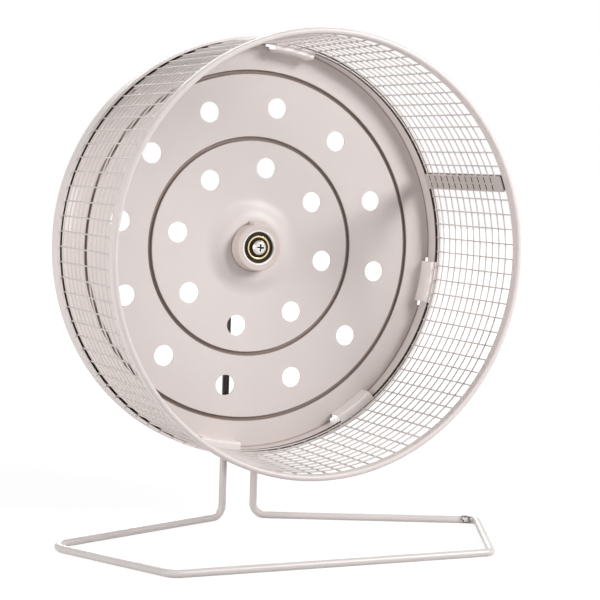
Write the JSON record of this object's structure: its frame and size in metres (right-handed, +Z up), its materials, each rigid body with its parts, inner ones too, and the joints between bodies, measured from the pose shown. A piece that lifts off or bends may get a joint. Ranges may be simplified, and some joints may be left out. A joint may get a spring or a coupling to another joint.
{
  "type": "rodent exercise wheel",
  "caption": "Free-standing exercise wheel for small animals: wire-mesh drum with a perforated back disc, running on a sealed ball bearing on a bent-rod stand",
  "frame": {"origin": "On the floor, straight under the centre of the back disc's flat front face", "axes": "+Z up, the axle along Y with the drum's open front facing -Y, +X to the right seen from the open front"},
  "size_m": [0.3093, 0.167, 0.3312],
  "materials": {
    "sheet_coat": "satin powder coat, pale warm white",
    "rim_coat": "satin powder coat, pale warm white",
    "wire_coat": "satin powder coat, pale warm white",
    "seam_coat": "satin powder coat, bare and dark in the slots",
    "rod_coat": "satin powder coat, pale warm white",
    "housing_coat": "satin powder coat, pale warm white",
    "plated_steel": "bright zinc plate",
    "bearing_steel": "ground bearing steel",
    "brass": "turned brass",
    "seal_rubber": "black rubber",
    "cage_plastic": "natural nylon"
  },
  "bodies": {
    "stand": {"stand_rod": "rod_coat", "rod_butt_weld": "rod_coat", "axle_plate": "rod_coat", "plate_welds": "rod_coat", "axle_screw": "plated_steel", "axle_bush": "brass", "axle_spacer": "plated_steel", "plate_washer": "plated_steel", "axle_nut": "plated_steel", "bearing_inner_ring": "bearing_steel"},
    "wheel": {"back_disc": "sheet_coat", "bearing_housing": "housing_coat", "bearing_outer_ring": "bearing_steel", "front_seal": "seal_rubber", "rear_seal": "seal_rubber", "rear_rim": "rim_coat", "front_rim": "rim_coat", "mesh_hoops": "wire_coat", "mesh_cross_wires": "wire_coat", "seam_inner_strip": "seam_coat", "seam_outer_strip": "seam_coat"},
    "ball_set": {"bearing_balls": "bearing_steel", "ball_cage": "cage_plastic"}
  },
  "joints": [
    {"name": "wheel_spin", "type": "hinge", "parent": "stand", "child": "wheel", "pos_m": [0, 0, 0.1897], "axis": [0, 1, 0], "continuous": true},
    {"name": "cage_spin", "type": "hinge", "parent": "stand", "child": "ball_set", "pos_m": [0, 0, 0.1897], "axis": [0, 1, 0], "continuous": true}
  ],
  "couplings": [
    {"joint": "cage_spin", "follows": "wheel_spin", "ratio": 0.6323}
  ]
}
